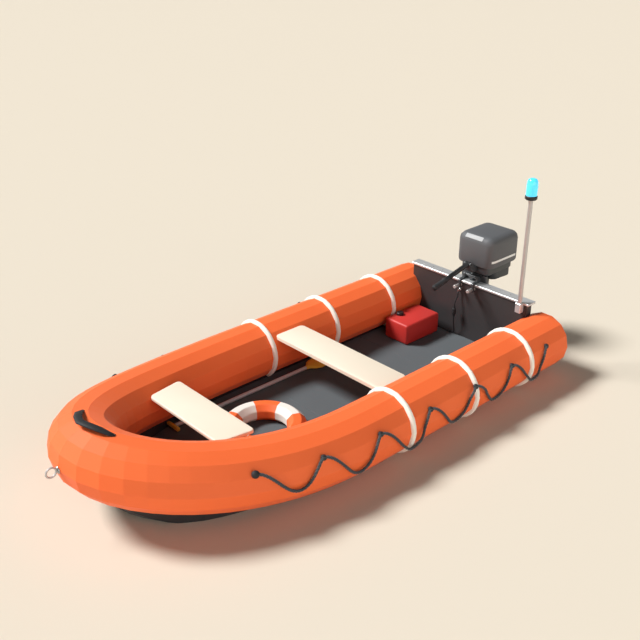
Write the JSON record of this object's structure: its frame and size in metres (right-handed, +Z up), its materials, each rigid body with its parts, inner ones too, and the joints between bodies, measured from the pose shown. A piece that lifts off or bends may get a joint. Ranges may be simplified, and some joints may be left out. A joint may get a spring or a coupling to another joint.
{
  "type": "inflatable rescue dinghy",
  "caption": "Inflatable rescue dinghy with hard floor, thwarts, lifelines, a tiller outboard that tilts and steers, fuel tank, lifebuoy, paddle and a mast with a flashing light",
  "frame": {"origin": "on the waterline, on the centre line, at the middle white bands", "axes": "+X to the bow, +Y to port, +Z up"},
  "size_m": [4.2518, 1.9062, 1.9106],
  "materials": {
    "tube_fabric": "coated fabric, satin",
    "band_fabric": "coated fabric, satin",
    "rope": "braided polyester",
    "hull_fabric": "coated fabric, dull",
    "floorboard": "grey non-slip paint",
    "transom_board": "grey paint",
    "aluminium": "anodised",
    "thwart_board": "cream paint",
    "lifebuoy_skin": "moulded, orange and white quarters",
    "tank_plastic": "moulded",
    "black_plastic": "moulded",
    "rubber": "moulded",
    "yellow_plastic": "moulded",
    "steel": "stainless",
    "lens": "clear blue, lit",
    "motor_paint": "satin grey",
    "cowl_plastic": "satin grey",
    "engine_iron": "dull",
    "propeller_metal": "painted"
  },
  "bodies": {
    "boat": {"tube_port": "tube_fabric", "tube_starboard": "tube_fabric", "tube_bow_port": "tube_fabric", "tube_bow_starboard": "tube_fabric", "band_port_aft": "band_fabric", "band_port_mid": "band_fabric", "band_port_fore": "band_fabric", "band_starboard_aft": "band_fabric", "band_starboard_mid": "band_fabric", "band_starboard_fore": "band_fabric", "lifeline_port": "rope", "lifeline_starboard": "rope", "hull": "hull_fabric", "floorboard_aft": "floorboard", "floorboard_middle": "floorboard", "floorboard_fore": "floorboard", "transom": "transom_board", "transom_cap": "aluminium", "thwart_aft": "thwart_board", "thwart_fore": "thwart_board", "lifebuoy": "lifebuoy_skin", "fuel_tank": "tank_plastic", "fuel_cap": "black_plastic", "tank_fitting": "aluminium", "line_fitting": "aluminium", "primer_bulb": "rubber", "fuel_hose_upper": "rubber", "fuel_hose_lower": "rubber", "paddle_shaft": "aluminium", "paddle_grip": "yellow_plastic", "paddle_blade": "yellow_plastic", "bow_handle": "rubber", "tow_plate": "steel", "tow_ring": "steel", "mast_socket": "aluminium", "mast": "aluminium", "light_base": "black_plastic", "light_lens": "lens", "clamp_bracket": "motor_paint", "clamp_screw_port": "steel", "clamp_screw_starboard": "steel"},
    "swivel": {"swivel_bracket": "motor_paint"},
    "motor": {"motor_leg": "motor_paint", "steering_shaft": "steel", "lower_pan": "motor_paint", "cowl": "cowl_plastic", "powerhead": "engine_iron", "tiller_fork": "motor_paint", "gearcase": "motor_paint"},
    "tiller": {"tiller_arm": "black_plastic", "tiller_grip": "rubber"},
    "propeller": {"propeller": "propeller_metal"}
  },
  "joints": [
    {"name": "motor_tilt", "type": "hinge", "parent": "boat", "child": "swivel", "pos_m": [-1.045, 0, 0.588], "axis": [0, 1, 0], "range_deg": [0, 65]},
    {"name": "motor_steering", "type": "hinge", "parent": "swivel", "child": "motor", "pos_m": [-1.135, 0, 0.585], "axis": [0, 0, 1], "range_deg": [-40, 40]},
    {"name": "tiller_fold", "type": "hinge", "parent": "motor", "child": "tiller", "pos_m": [-0.985, 0, 0.708], "axis": [0, -1, 0], "range_deg": [0, 95]},
    {"name": "propeller_spin", "type": "hinge", "parent": "motor", "child": "propeller", "pos_m": [-1.435, 0, -0.225], "axis": [1, 0, 0], "continuous": true}
  ]
}
